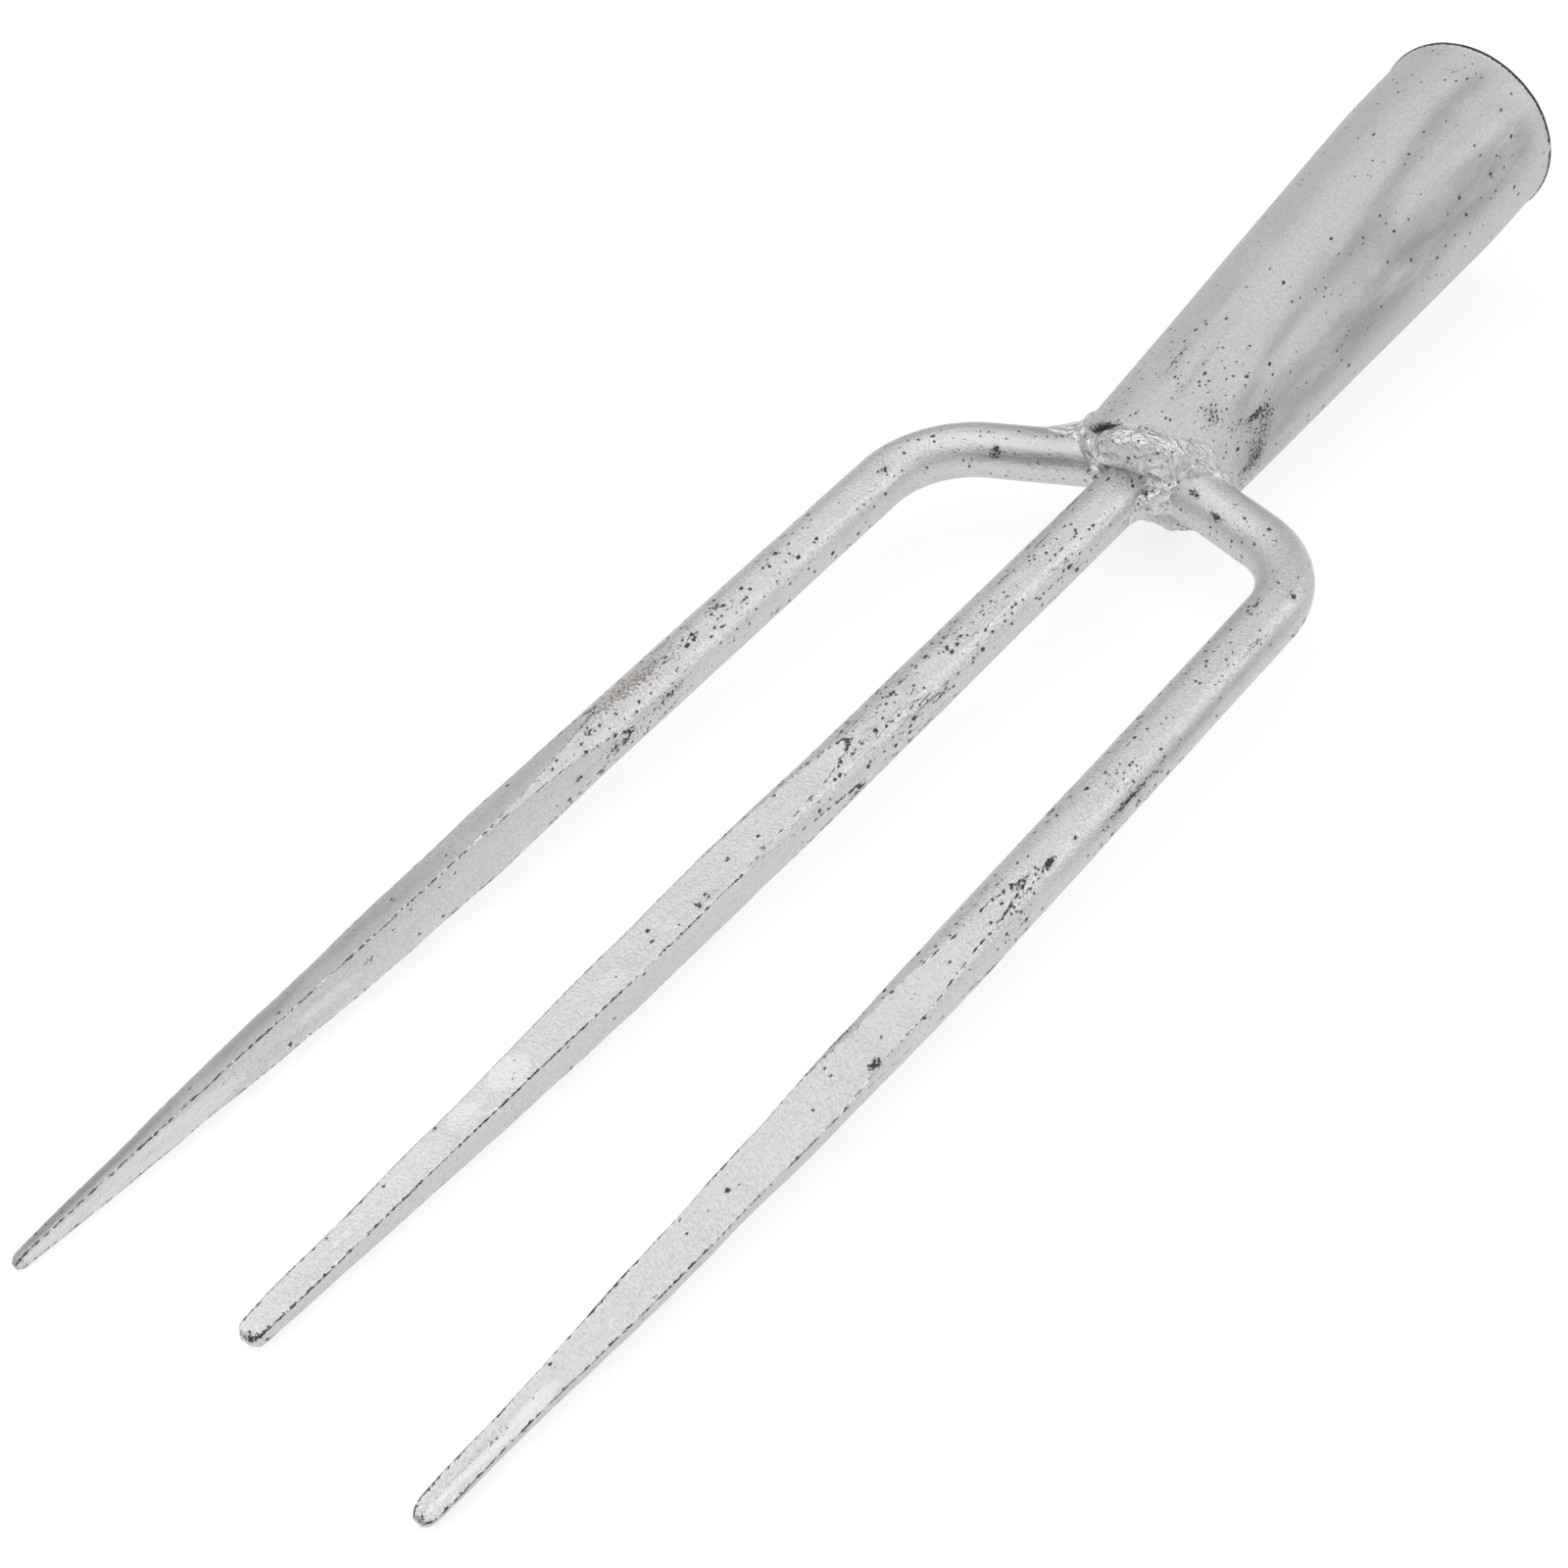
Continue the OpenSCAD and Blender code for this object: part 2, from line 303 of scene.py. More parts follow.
bend_turn = math.pi / 2 - ARM_SWEEP - SPLAY
bend_leg = BEND_R * math.tan(bend_turn / 2)
arm_straight = HALF_SPACING / math.cos(ARM_SWEEP) - bend_leg
outer_total = arm_straight + BEND_R * bend_turn + OUTER_LEN - bend_leg


def outer_line(s, side):
    """Place and direction on an outer tine's centre line, s mm from the crossing."""
    heading = -ARM_SWEEP
    start = Vector((math.cos(heading), math.sin(heading))) * min(s, arm_straight)
    turned = min(max(s - arm_straight, 0) / BEND_R, bend_turn)
    centre = Vector((math.sin(heading), -math.cos(heading))) * BEND_R
    spoke = -centre
    spoke = Vector((spoke.x * math.cos(turned) + spoke.y * math.sin(turned),
                    spoke.y * math.cos(turned) - spoke.x * math.sin(turned)))
    heading -= turned
    rest = max(s - arm_straight - BEND_R * bend_turn, 0)
    way = Vector((math.cos(heading), math.sin(heading)))
    place = start + centre + spoke + way * rest
    return Vector((place.x * side, place.y)), Vector((way.x * side, way.y))


def middle_line(s, side):
    way = Vector((-math.sin(MIDDLE_LEAN), -math.cos(MIDDLE_LEAN)))
    return way * s, way


def in_tine_plane(x, y, z):
    """From the plane of the tines to the shared frame, in mm."""
    c, s = math.cos(RISE), math.sin(RISE)
    return CROSSING + Vector((x, y * c + z * s, z * c - y * s))


print("an outer tine is", round(outer_total, 1), "mm of bar, and the middle one", MIDDLE_LEN)

# %% [markdown]
# ## Forging a point
# Each tine is hammered from round to square over the last 160 mm, then drawn out to a point.
# A section of the bar is described by how far its four flat sides are from its centre. Where
# the sides are further out than the round bar's surface, the bar is still round, so the flats
# begin as long pointed tongues, as they do under a hammer. Each blow leaves its own shallow
# dent, so the distances also wander a little along the bar.
#
# The rows of a table give the forging, from the root of the point to the tip. The roll is how
# far the square is turned, because the smith doesn't hold all three bars alike. The blunt is
# the length of the rounded end, the blows say how uneven the hammering is, and the dents are
# single deep blows.

# %% The three forged points
# Each row: distance from the tip, half width, half height, largest radius, shift, lift.
LEFT_POINT = {"roll": -15.8, "rows": [
    (163, 6.3, 6.3, 6.0, 0, 0), (150, 5.5, 5.7, 6.0, 0.05, 0), (140, 5.0, 5.2, 6.05, 0.12, -0.07),
    (130, 4.72, 4.85, 6.2, 0.18, -0.14), (115, 4.5, 4.58, 6.45, 0.2, -0.17),
    (100, 4.22, 4.24, 7, 0.22, -0.18), (80, 3.9, 3.9, 12, 0.2, -0.16), (50, 3.0, 3.02, 12, -0.12, 0.12),
    (20, 1.93, 1.95, 12, -0.25, 0.2), (2, 1.2, 1.2, 12, -0.35, 0.3), (0, 0.98, 0.98, 12, -0.2, 0.2)],
    "blunt": 0.8, "blows": 0.55, "dents": [(112, 80, 9, 4, 0.14), (66, 80, 8, 4, 0.12)]}
MIDDLE_POINT = {"roll": 8.2, "rows": [
    (168, 6.3, 6.3, 6.0, 0, 0), (155, 5.9, 5.5, 6.05, 0, 0), (145, 5.6, 5.1, 6.15, -0.1, 0.1),
    (130, 4.75, 4.7, 6.25, -0.22, 0.18), (116, 4.5, 4.5, 6.5, -0.22, 0.18), (100, 4.42, 4.32, 7, -0.22, 0.18),
    (80, 3.95, 4.05, 12, -0.28, 0.24), (50, 3.3, 3.35, 12, -0.45, 0.36), (20, 2.88, 1.95, 12, -0.75, 0.6),
    (8, 2.75, 1.6, 12, -0.95, 0.75), (2, 2.45, 1.35, 12, -0.95, 0.75), (0, 2.0, 1.1, 12, -0.9, 0.7)],
    "blunt": 1.0, "blows": 0.75,
    "dents": [(66, 6, 6, 4, 0.24), (55, 6, 5, 4, 0.18), (98, 6, 9, 5, 0.16), (28, 6, 8, 5, 0.1)]}
RIGHT_POINT = {"roll": 25.0, "rows": [
    (165, 6.3, 6.3, 6.0, 0, 0), (150, 6.1, 5.6, 6.0, 0, 0), (130, 5.7, 5.2, 6.05, -0.07, 0.04),
    (115, 5.15, 4.95, 6.15, -0.2, 0.12), (100, 4.68, 4.76, 6.6, -0.35, 0.22),
    (80, 4.14, 3.9, 12, -0.55, 0.35),
    (50, 3.46, 3.15, 12, -0.98, 0.6), (30, 2.62, 2.7, 12, -1.4, 0.86), (20, 2.36, 2.2, 12, -1.62, 1.0),
    (8, 2.38, 1.45, 12, -1.92, 1.2), (2.5, 2.2, 1.2, 12, -1.97, 1.25), (0, 1.75, 0.9, 12, -1.95, 1.2)],
    "blunt": 1.8, "blows": 0.9,
    "dents": [(120, 24, 9, 4, 0.18), (90, 24, 8, 4, 0.14), (14, 28, 9, 1.6, 0.35)]}


def between_rows(rows, d):
    """The forging at d mm from the tip, eased between the two nearest rows."""
    if d >= rows[0][0]:
        return rows[0][1:]
    for above, below in zip(rows, rows[1:]):
        if d >= below[0]:
            t = (d - below[0]) / (above[0] - below[0])
            return tuple(b + (a - b) * t for a, b in zip(above[1:], below[1:]))
    return rows[-1][1:]


def hammered(side_number, d, seed):
    """How far one flat is driven in by the blows, in mm."""
    broad = noise.noise(Vector((d / 17.0, side_number * 7.3, seed)))
    short = noise.noise(Vector((d / 6.5, side_number * 3.1 + 40, seed)))
    return 0.34 * broad + 0.12 * short


SHARPNESS = 30  # how sharp the corners of the square are
EASE_IN = 25  # mm over which the hammering begins


def bar_section(angle, d, point, seed):
    """Radius of the bar at an angle round it (0 is +X, 90 is +Z), the distance to a ridge, and
    whether it is still round there."""
    half_w, half_h, largest, shift, lift = between_rows(point["rows"], d)
    turn = angle + math.radians(point["roll"])
    forged = min(1.0, max(0.0, (point["rows"][0][0] - d) / EASE_IN))
    ease = min(1.0, 0.25 + d / 60)
    total = 0.0
    for k, half in enumerate((half_w, half_h, half_w, half_h)):
        facing = math.cos(turn - k * math.pi / 2)
        if facing > 0:
            half += hammered(k, d, seed) * forged * ease * point["blows"]
            total += (facing / half) ** SHARPNESS
    flat = total ** (-1 / SHARPNESS)
    corner = math.atan2(half_h, half_w)
    fold = abs((turn + math.pi / 2) % math.pi - math.pi / 2)
    to_corner = abs(fold - corner) * flat
    to_tongue = abs(largest - flat) * 2.2
    still_round = flat > largest
    ridge = to_tongue if still_round else min(to_corner, to_tongue)
    return min(flat, largest), ridge if forged > 0.05 else CLEAR_OF_RIDGE, still_round


# %% [markdown]
# ## Marks of use and handling, and painted light
# Dark patches and rust spots sit at particular places, and so do painted highlights and painted
# dark reflections, so each is one row of a table: how far it is from the tip, how far round the
# bar, its length, its width and its strength. They are added up on each point of the mesh, and
# the paint turns the dark patches and rust into specks.

# %% Patches on the tines
# Each row: distance from the tip, degrees from +Z towards +X, half length, half width, strength.
# Pitting is how scaly the round bar is, d mm from the tip.
LEFT_PATCHES = {
    "grime": [(278, 51, 1.6, 1.5, 1.0), (276, 66, 3.0, 0.6, 0.6), (292, 5, 3.0, 0.7, 0.85),
              (286, 12, 4.0, 0.5, 0.7), (274, 12, 5.0, 0.5, 0.65), (247, 30, 1.4, 1.0, 1.0),
              (193, 5, 1.8, 1.0, 0.9), (184, 17, 1.6, 1.1, 0.95), (170, 75, 9, 1.6, 0.66),
              (154, 81, 6, 1.6, 0.66), (143, 80, 1.4, 0.8, 0.9), (151, 20, 2.2, 1.4, 0.8),
              (85, 66, 1.6, 0.7, 0.9), (30, 78, 2.5, 1.0, 0.6), (0.6, 40, 1.0, 5, 0.9)],
    "rust": [(160, 0, 18, 3.2, 0.56), (172, 12, 14, 2.4, 0.46), (158, 84, 14, 2.2, 0.56)],
    # Painted highlights: pale patches painted where the bar catches the light.
    "shine": [(30, 78, 26, 5, 0.95), (6, 80, 5, 3, 0.8), (76, 74, 14, 3, 0.5)],
    # Painted dark reflections: grey bands on the upper left facet towards the tip and on the arm.
    "shade": [(6, -27, 62, 4.3, 0.85), (90, -24, 40, 4.2, 0.42), (150, -20, 30, 3, 0.16),
              (291, 58, 15, 1.5, 0.70), (288, 2, 16, 3.6, 0.50)],
    "pitting": lambda d: 0.66 + 0.55 * math.exp(-((d - 172) / 28) ** 2)}
MIDDLE_PATCHES = {
    "grime": [(259.4, -4, 0.45, 5, 0.8), (257.6, -42, 0.4, 3, 0.8), (261, 36, 0.5, 3, 0.9),
              (245, -35, 6, 0.5, 0.9), (232, -30, 9, 0.5, 0.7), (218, -8, 5, 0.6, 0.75),
              (178, 2, 2.0, 0.7, 1.0), (178, 69, 1.4, 0.9, 0.9), (189, 63, 1.6, 0.7, 0.8),
              (127, 7, 1.2, 0.7, 0.9), (133, 45, 1.2, 0.7, 0.8), (118, 41, 3.4, 0.5, 0.72),
              (115, 34, 0.5, 2.4, 0.8), (109, 55, 3.0, 0.5, 0.75), (0.5, 40, 1.2, 6, 0.9),
              (3, 66, 3, 1, 0.7)],
    "rust": [(254, 18, 6, 4, 0.42)],
    # Painted highlights: pale patches painted on the flats and the round bar.
    "shine": [(66, 6, 5, 5, 0.95), (54, 6, 4.5, 5, 0.75), (92, 20, 6, 4, 0.6), (24, 2, 14, 3, 0.46),
              (108, 24, 6, 3, 0.46)],
    "shade": [],
    "pitting": lambda d: 0.72 + 0.62 * math.exp(-((d - 195) / 42) ** 2)}
RIGHT_PATCHES = {
    "grime": [(291, -36, 2.4, 1.1, 0.9), (283, -48, 2.2, 0.9, 1.1), (266, -9, 1.4, 1.4, 0.62),
              (251, 37, 1.5, 1.2, 0.8), (245, -6, 1.6, 0.8, 1.0), (242, -2, 0.7, 0.7, 0.9),
              (236, 46, 5, 0.5, 0.8), (189, 68, 10, 0.9, 0.8), (166, 38, 2.2, 0.9, 1.1),
              (157, 44, 9, 1.0, 0.62), (111, 56, 2.0, 1.1, 1.1), (112, -26, 6, 0.8, 0.8),
              (86, -28, 4, 0.7, 0.8), (71, -30, 5, 0.7, 0.8), (18, 30, 4.0, 1.3, 0.66),
              (0.5, 40, 1.2, 6, 0.9)],
    "rust": [(236, 60, 8, 3, 0.45)],
    # Painted highlights: pale patches painted near the tip.
    "shine": [(24, 42, 7, 3, 1.1), (10, 36, 10, 2.8, 1.1), (46, 34, 8, 3, 0.42)],
    # Painted dark reflections: a narrow grey band along the bar and a broad faint one.
    "shade": [(215, 71, 55, 1.6, 0.50), (240, 0, 50, 9, 0.14)],
    "pitting": lambda d: 0.66 + 0.40 * math.exp(-((d - 175) / 45) ** 2)}


def arc_mm(turn, radius):
    """Length of arc, in mm, for a turn in degrees, the short way round."""
    return ((turn + 180) % 360 - 180) * math.pi / 180 * radius


def patch_strength(rows, along, degrees, radius=BAR_R):
    """The patches of one kind, added up at a place on a bar or tube of that radius."""
    total = 0.0
    for at, round_at, half_length, half_width, strength in rows:
        across = arc_mm(degrees - round_at, radius)
        total += strength * math.exp(-((along - at) / half_length) ** 2 - (across / half_width) ** 2)
    return total


for side_name, patches in (("left", LEFT_PATCHES), ("middle", MIDDLE_PATCHES), ("right", RIGHT_PATCHES)):
    print(side_name, "tine:", {kind: len(rows) for kind, rows in patches.items() if kind != "pitting"})


# %% [markdown]
# ## Making a tine
# A tine starts as a plain cylinder. Its long edges are cut into rings one millimetre apart by
# one subdivide, and then every ring is given its forged section and moved to its place along
# the bent centre line. Extruding ring after ring would give the same mesh, with more steps.

# %% Straight bar, forged and bent
AROUND = 96
RING_STEP = 1.0
FLAT_PITTING = 0.12  # the hammer has knocked the scale off the flats


def ringed_cylinder(around, rings, capped):
    """A cylinder of radius 1 and length 1 along Z, with its long edges cut into rings."""
    made = bmesh.new()
    bmesh.ops.create_cone(made, cap_ends=capped, segments=around, radius1=1, radius2=1, depth=1)
    long_edges = [e for e in made.edges if abs(e.verts[0].co.z - e.verts[1].co.z) > 0.5]
    bmesh.ops.subdivide_edges(made, edges=long_edges, cuts=rings - 1, use_grid_fill=True)
    return made


def make_tine(name, line, side, length, point, patches, node, seed, root=0.0):
    """One tine, from root mm past the start of its centre line to its tip."""
    bar = ringed_cylinder(AROUND, round((length - root) / RING_STEP), capped=True)
    bmesh.ops.poke(bar, faces=[f for f in bar.faces if len(f.verts) > 4])
    place, ridges, pitting = [], [], []
    marks = {"grime": [], "rust": [], "shine": [], "shade": []}
    for v in bar.verts:
        s = root + (v.co.z + 0.5) * (length - root)
        d = length - s
        hub = v.co.xy.length < 0.5
        angle = math.atan2(v.co.y, v.co.x)
        angle += 0.10 * math.sin(4 * angle + math.radians(4 * point["roll"]))
        radius, ridge, still_round = bar_section(angle, d, point, seed)
        degrees = math.degrees(math.pi / 2 - angle)
        radius -= patch_strength(point["dents"], d, degrees)
        if hub:
            radius = 0.0
        else:
            lump = noise.noise(Vector((math.cos(angle) * 1.6, math.sin(angle) * 1.6, s / 16 + seed)))
            fine = noise.noise(Vector((math.cos(angle) * 4, math.sin(angle) * 4, s / 4 + seed)))
            radius += 0.07 * lump + 0.02 * fine - 0.06
        if d < point["blunt"]:
            t = 1 - d / point["blunt"]
            radius *= math.sqrt(max(0.0, 1 - (0.8 * t) ** 2))
        a, b = radius * math.cos(angle), radius * math.sin(angle)
        shift, lift = between_rows(point["rows"], d)[3:]
        centre, way = line(s, side)
        x, y = centre.x - way.y * (a + shift), centre.y + way.x * (a + shift)
        v.co = in_tine_plane(x, y, b + lift) * MM
        place.append(Vector((a, s + seed * 500, b)) * MM)
        ridges.append(ridge)
        for kind, strengths in marks.items():
            strengths.append(patch_strength(patches[kind], d, degrees))
        pitting.append(patches["pitting"](d) if still_round else FLAT_PITTING)
    return finish_piece(name, bar, tine_paint, node,
                        {"bar_place": place, "ridge": ridges, "pitting": pitting, **marks})


left_tine = make_tine("left_tine_forged", outer_line, -1, outer_total, LEFT_POINT, LEFT_PATCHES,
                      "left_tine", 1.0, root=2.1)
middle_tine = make_tine("middle_tine_forged", middle_line, 0, MIDDLE_LEN, MIDDLE_POINT, MIDDLE_PATCHES,
                        "middle_tine", 2.0, root=6.5)
right_tine = make_tine("right_tine_forged", outer_line, 1, outer_total, RIGHT_POINT, RIGHT_PATCHES,
                       "right_tine", 3.0, root=2.1)

# %% [markdown]
# ## The socket
# The socket is a tube, straight at the mouth and tapered to the welds. It was sawn off a
# little out of square and the edge was never dressed, so it is dark and slightly spread. Its
# wall isn't perfectly round either: it has long shallow waves from the forming, and the soft
# dark streaks that such a wall reflects are painted into its colour as grey bands. It starts
# as an open cylinder that is cut into rings, shaped, and then given its wall thickness with
# solidify.

# %% Tapered tube with an uneven mouth
MOUTH_R, NARROW_R, WALL = 22.0, 16.5, 2.0
STRAIGHT, SIDE_LEN, LIP_LEN = 23.0, 131.5, 143.0
LIP_RISE = 17 * 0.793  # mm that the end would run on at the top of the tube, if LIP_LEN didn't stop it
SPREAD = 0.34  # mm that the sawn edge stands out
ARC_RADIUS = 17  # mm, for the widths of the patches
SOCKET_AROUND, SOCKET_RINGS = 160, 110
SOCKET_GRIME = [  # y, degrees from +X towards +Z, half length, half width, strength
    (-127.4, 52, 3.9, 2.8, 0.50), (-128.6, 40, 3.8, 3.0, 0.40), (-124, 27, 3.9, 3.2, 0.42),
    (-119, 26, 3.2, 0.5, 0.85), (-114.8, 22, 3.0, 2.8, 0.46), (-117.7, 15, 4.0, 3.4, 0.44),
    (-121.7, 7, 4.4, 3.2, 0.42), (-120.3, -4, 3.6, 2.4, 0.44), (-126, -5, 4.6, 2.8, 0.58),
    (-120, 96, 7.0, 0.9, 0.74), (-128, 77, 5.0, 1.0, 0.66), (-142.2, 112, 1.1, 4.2, 1.3),
    (-142.6, 96, 0.8, 2.6, 0.9), (-10, 84, 2.0, 3.0, 0.5), (-24, 60, 1.5, 1.5, 0.5),
    (-140.6, 76, 0.6, 1.6, 0.8)]
# Painted dark reflections: soft grey bands painted into the socket's colour where its wavy wall would reflect
# something dark.
SOCKET_PAINTED_REFLECTIONS = [  # (y, degrees) along each soft grey band, its half width in mm, its strength
    ([(-8, 68), (-26, 70), (-42, 65), (-54, 61), (-79, 55), (-93, 53), (-104, 49), (-122, 38)], 2.6, 0.52),
    ([(-10, 25), (-21, 23), (-37, 21), (-53, 21), (-68, 18), (-88, 13), (-100, 10), (-125, 2)], 5.2, 0.60),
    ([(-12, 46), (-40, 42), (-80, 36), (-118, 24)], 4.2, 0.20),
    ([(-98, 100), (-108, 97), (-118, 94), (-126, 92)], 0.9, 0.30),
    ([(-104, 84), (-116, 80), (-128, 74)], 0.8, 0.26)]


def socket_painted_reflection(y, degrees):
    """How grey the soft bands are at a place on the socket."""
    total = 0.0
    for path, half_width, strength in SOCKET_PAINTED_REFLECTIONS:
        over = min(1.0, max(0.0, (path[0][0] + 6 - y) / 8)) * min(1.0, max(0.0, (y - path[-1][0] + 6) / 8))
        for start, end in zip(path, path[1:]):
            before = start is path[0] and y > start[0]
            beyond = end is path[-1] and y < end[0]
            if end[0] <= y <= start[0] or before or beyond:
                middle = start[1] + (end[1] - start[1]) * (start[0] - y) / (start[0] - end[0])
                middle += 2.5 * noise.noise(Vector((y / 26, half_width, 0)))
                width = half_width * (1 + 0.6 * noise.noise(Vector((y / 18, half_width, 8))))
                across = arc_mm(degrees - middle, ARC_RADIUS + 1)
                total += strength * over * math.exp(-(across / width) ** 2)
                break
    return total


def socket_radius(y):
    """Outer radius at y mm, with the corner of the taper softened."""
    past = max(0.0, -y - STRAIGHT + 4)
    ease = min(1.0, past / 8)
    taper = (MOUTH_R - NARROW_R) / (LIP_LEN - STRAIGHT)
    return MOUTH_R - taper * (past - 4 * ease if past > 8 else past * ease / 2)


def sawn_edge(x, z):
    """y of the mouth's edge, which was sawn a little out of square."""
    return -0.9 - 0.028 * x + 0.027 * z


def make_socket():
    tube = ringed_cylinder(SOCKET_AROUND, SOCKET_RINGS, capped=False)
    for v in tube.verts:
        t = 0.5 - v.co.z
        angle = math.atan2(v.co.y, v.co.x)
        c, s = math.cos(angle), math.sin(angle)
        lip = min(LIP_LEN - SIDE_LEN, max(0.0, s) * LIP_RISE)
        mouth_y = sawn_edge(MOUTH_R * c, MOUTH_R * s) + 0.05 * noise.noise(Vector((c * 6, s * 6, 3)))
        near_mouth = t ** 1.6
        y = mouth_y + (-(SIDE_LEN + lip) - mouth_y) * near_mouth
        radius = socket_radius(y)
        wave = noise.noise(Vector((c * 2.1, s * 2.1, y / 75 + 5)))
        small = noise.noise(Vector((c * 5.5, s * 5.5, y / 22)))
        radius += 0.20 * wave + 0.05 * small - 0.05
        edge = max(0.0, 1 - (mouth_y - y) / 1.5)
        radius = min(radius + SPREAD * edge ** 2, MOUTH_R + SPREAD)
        v.co = Vector((radius * c, y, radius * s)) * MM
    bmesh.ops.recalc_face_normals(tube, faces=tube.faces)
    middles = [f.calc_center_median() for f in tube.faces]
    outward = sum(f.normal.dot(Vector((m.x, 0, m.z))) for f, m in zip(tube.faces, middles))
    if outward < 0:
        bmesh.ops.reverse_faces(tube, faces=tube.faces)
    bmesh.ops.solidify(tube, geom=tube.faces[:], thickness=WALL * MM)
    for v in tube.verts:
        v.co.y = min(v.co.y, -0.02 * MM)
    ridges, grime, rust, pitting, shade = [], [], [], [], []
    for v in tube.verts:
        x, y, z = (c / MM for c in v.co)
        degrees = math.degrees(math.atan2(z, x))
        r = math.hypot(x, z)
        ridges.append(min(CLEAR_OF_RIDGE, max(-0.4, (sawn_edge(x, z) - y - 0.5) * 1.3)))
        inner = 0.55 if r < socket_radius(y) - 1.2 else 0.0
        grime.append(patch_strength(SOCKET_GRIME, y, degrees, ARC_RADIUS) + inner)
        rust.append(inner)
        pitting.append(0.20 + 0.75 * math.exp(-((y + 128) / 16) ** 2))
        # The painted dark reflections go on the outside of the tube only.
        shade.append(socket_painted_reflection(y, degrees) if inner == 0 else 0.0)
    return finish_piece("socket_tube", tube, socket_paint, "socket",
                        {"ridge": ridges, "grime": grime, "rust": rust, "pitting": pitting, "shade": shade})


socket = make_socket()

# %% [markdown]
# ## The welds
# Weld metal freezes drop by drop, so a bead is a row of overlapping lumps, and where the welder
# filled a hollow there are lumps on lumps. Each weld is a heap of small spheres, joined into
# one skin by a voxel remesh, and smoothed until the lumps run into each other. Carving the same
# shape from a block would take far longer, and would look less like metal that has flowed.


# %% A row of drops, and the skin over them
def drops_along(points, radius, spacing, seed, jitter=0.12):
    """Places and radii of drops along a line through points, in mm."""
    drops = []
    for start, end in zip(points, points[1:]):
        start, end = Vector(start), Vector(end)
        count = max(1, round((end - start).length / spacing))
        for k in range(count):
            at = start.lerp(end, k / count)
            wobble = noise.noise_vector(at * 0.9 + Vector((seed, 0, 0)))
            size = radius * (1 + jitter * 2 * noise.noise(at * 1.3 + Vector((0, seed, 0))))
            drops.append((at + wobble * radius * jitter, size))
    drops.append((Vector(points[-1]), radius))
    return drops


def make_weld(name, drops, node, voxel=0.38, passes=14, lump=0.09, seed=0.0, marks=(), bright=()):
    """A weld from its drops. voxel, in mm, sets how fine the skin is, passes how smooth, and lump
    how uneven. marks and bright are rows of x, y, z, reach and strength: marks places dark pits
    and painted shade in hollows and crevices, and bright places painted highlights."""
    heap = bmesh.new()
    for at, radius in drops:
        bmesh.ops.create_icosphere(heap, subdivisions=2, radius=radius * MM,
                                   matrix=Matrix.Translation(at * MM))
    rough = bpy.data.meshes.new(name + "_heap")
    heap.to_mesh(rough)
    heap.free()
    holder = bpy.data.objects.new(name + "_heap", rough)
    bpy.context.scene.collection.objects.link(holder)
    skin = holder.modifiers.new("skin", "REMESH")
    skin.mode = "VOXEL"
    skin.voxel_size = voxel * MM
    bpy.context.view_layer.update()
    evaluated = holder.evaluated_get(bpy.context.evaluated_depsgraph_get())
    weld = bmesh.new()
    weld.from_mesh(evaluated.to_mesh())
    bpy.data.objects.remove(holder)
    bpy.data.meshes.remove(rough)
    for _ in range(passes):
        bmesh.ops.smooth_vert(weld, verts=weld.verts, factor=0.5,
                              use_axis_x=True, use_axis_y=True, use_axis_z=True)
    weld.normal_update()
    moves = []
    for v in weld.verts:
        p = v.co / MM
        round_socket = math.atan2(p.z, p.x) * 16
        down = math.hypot(p.x, p.z) - p.y
        lengthwise = round_socket * 0.85 + down * 0.5
        across = down * 0.85 - round_socket * 0.5
        big = noise.noise(Vector((p.x * 0.35, p.y * 0.35, p.z * 0.35 + seed)))
        ripple = noise.noise(Vector((lengthwise * 0.22, across * 0.75, seed)))
        fine = noise.noise(Vector((lengthwise * 0.6, across * 1.6, seed + 20)))
        moves.append(v.normal * lump * (big + 1.5 * ripple + 0.6 * fine) * MM)
    for v, move in zip(weld.verts, moves):
        v.co += move
    # The grime attribute gets the dark pits and the painted shade of hollows, with random dark lumps; the
    # shine attribute gets painted highlights.
    grime, shine = [], []
    for v in weld.verts:
        p = v.co / MM
        dark, pale = (sum(row[4] * math.exp(-((p - Vector(row[:3])).length / row[3]) ** 2) for row in rows)
                      for rows in (marks, bright))
        grime.append(dark + max(0.0, 0.7 * noise.noise(p * 0.30 + Vector((seed, 9, 4)))))
        shine.append(pale)
    return finish_piece(name, weld, weld_paint, node, {"grime": grime, "shine": shine})


# %% [markdown]
# The front weld wraps the end of the socket and runs down over the arms. Its upper edge, the
# toe, is given by angle, y and distance from the socket's axis. The rows under it fill the
# hollow down to the middle tine, and one runs out along the left arm. Its darkest pits, with
# painted shade in its hollow and crevices, and painted highlights on its brightest folds are
# placed one by one.

# %% The front weld
TOE = [  # degrees round the socket, y, distance from the socket's axis
    (-30, -128.7, 14.6), (-3, -133.6, 14.6), (24, -136.1, 14.7), (43, -139.0, 14.8), (60, -141.8, 14.8),
    (78, -143.7, 14.5), (90, -144.2, 13.8), (102, -144.4, 12.8), (118, -142.2, 11.4), (137, -137.4, 10.0),
    (156, -134.6, 9.8), (183, -133.0, 10.4)]


def toe_point(degrees, y, ring):
    """A point of a bead's edge, which wraps the socket."""
    return (ring * math.cos(math.radians(degrees)), y, ring * math.sin(math.radians(degrees)))


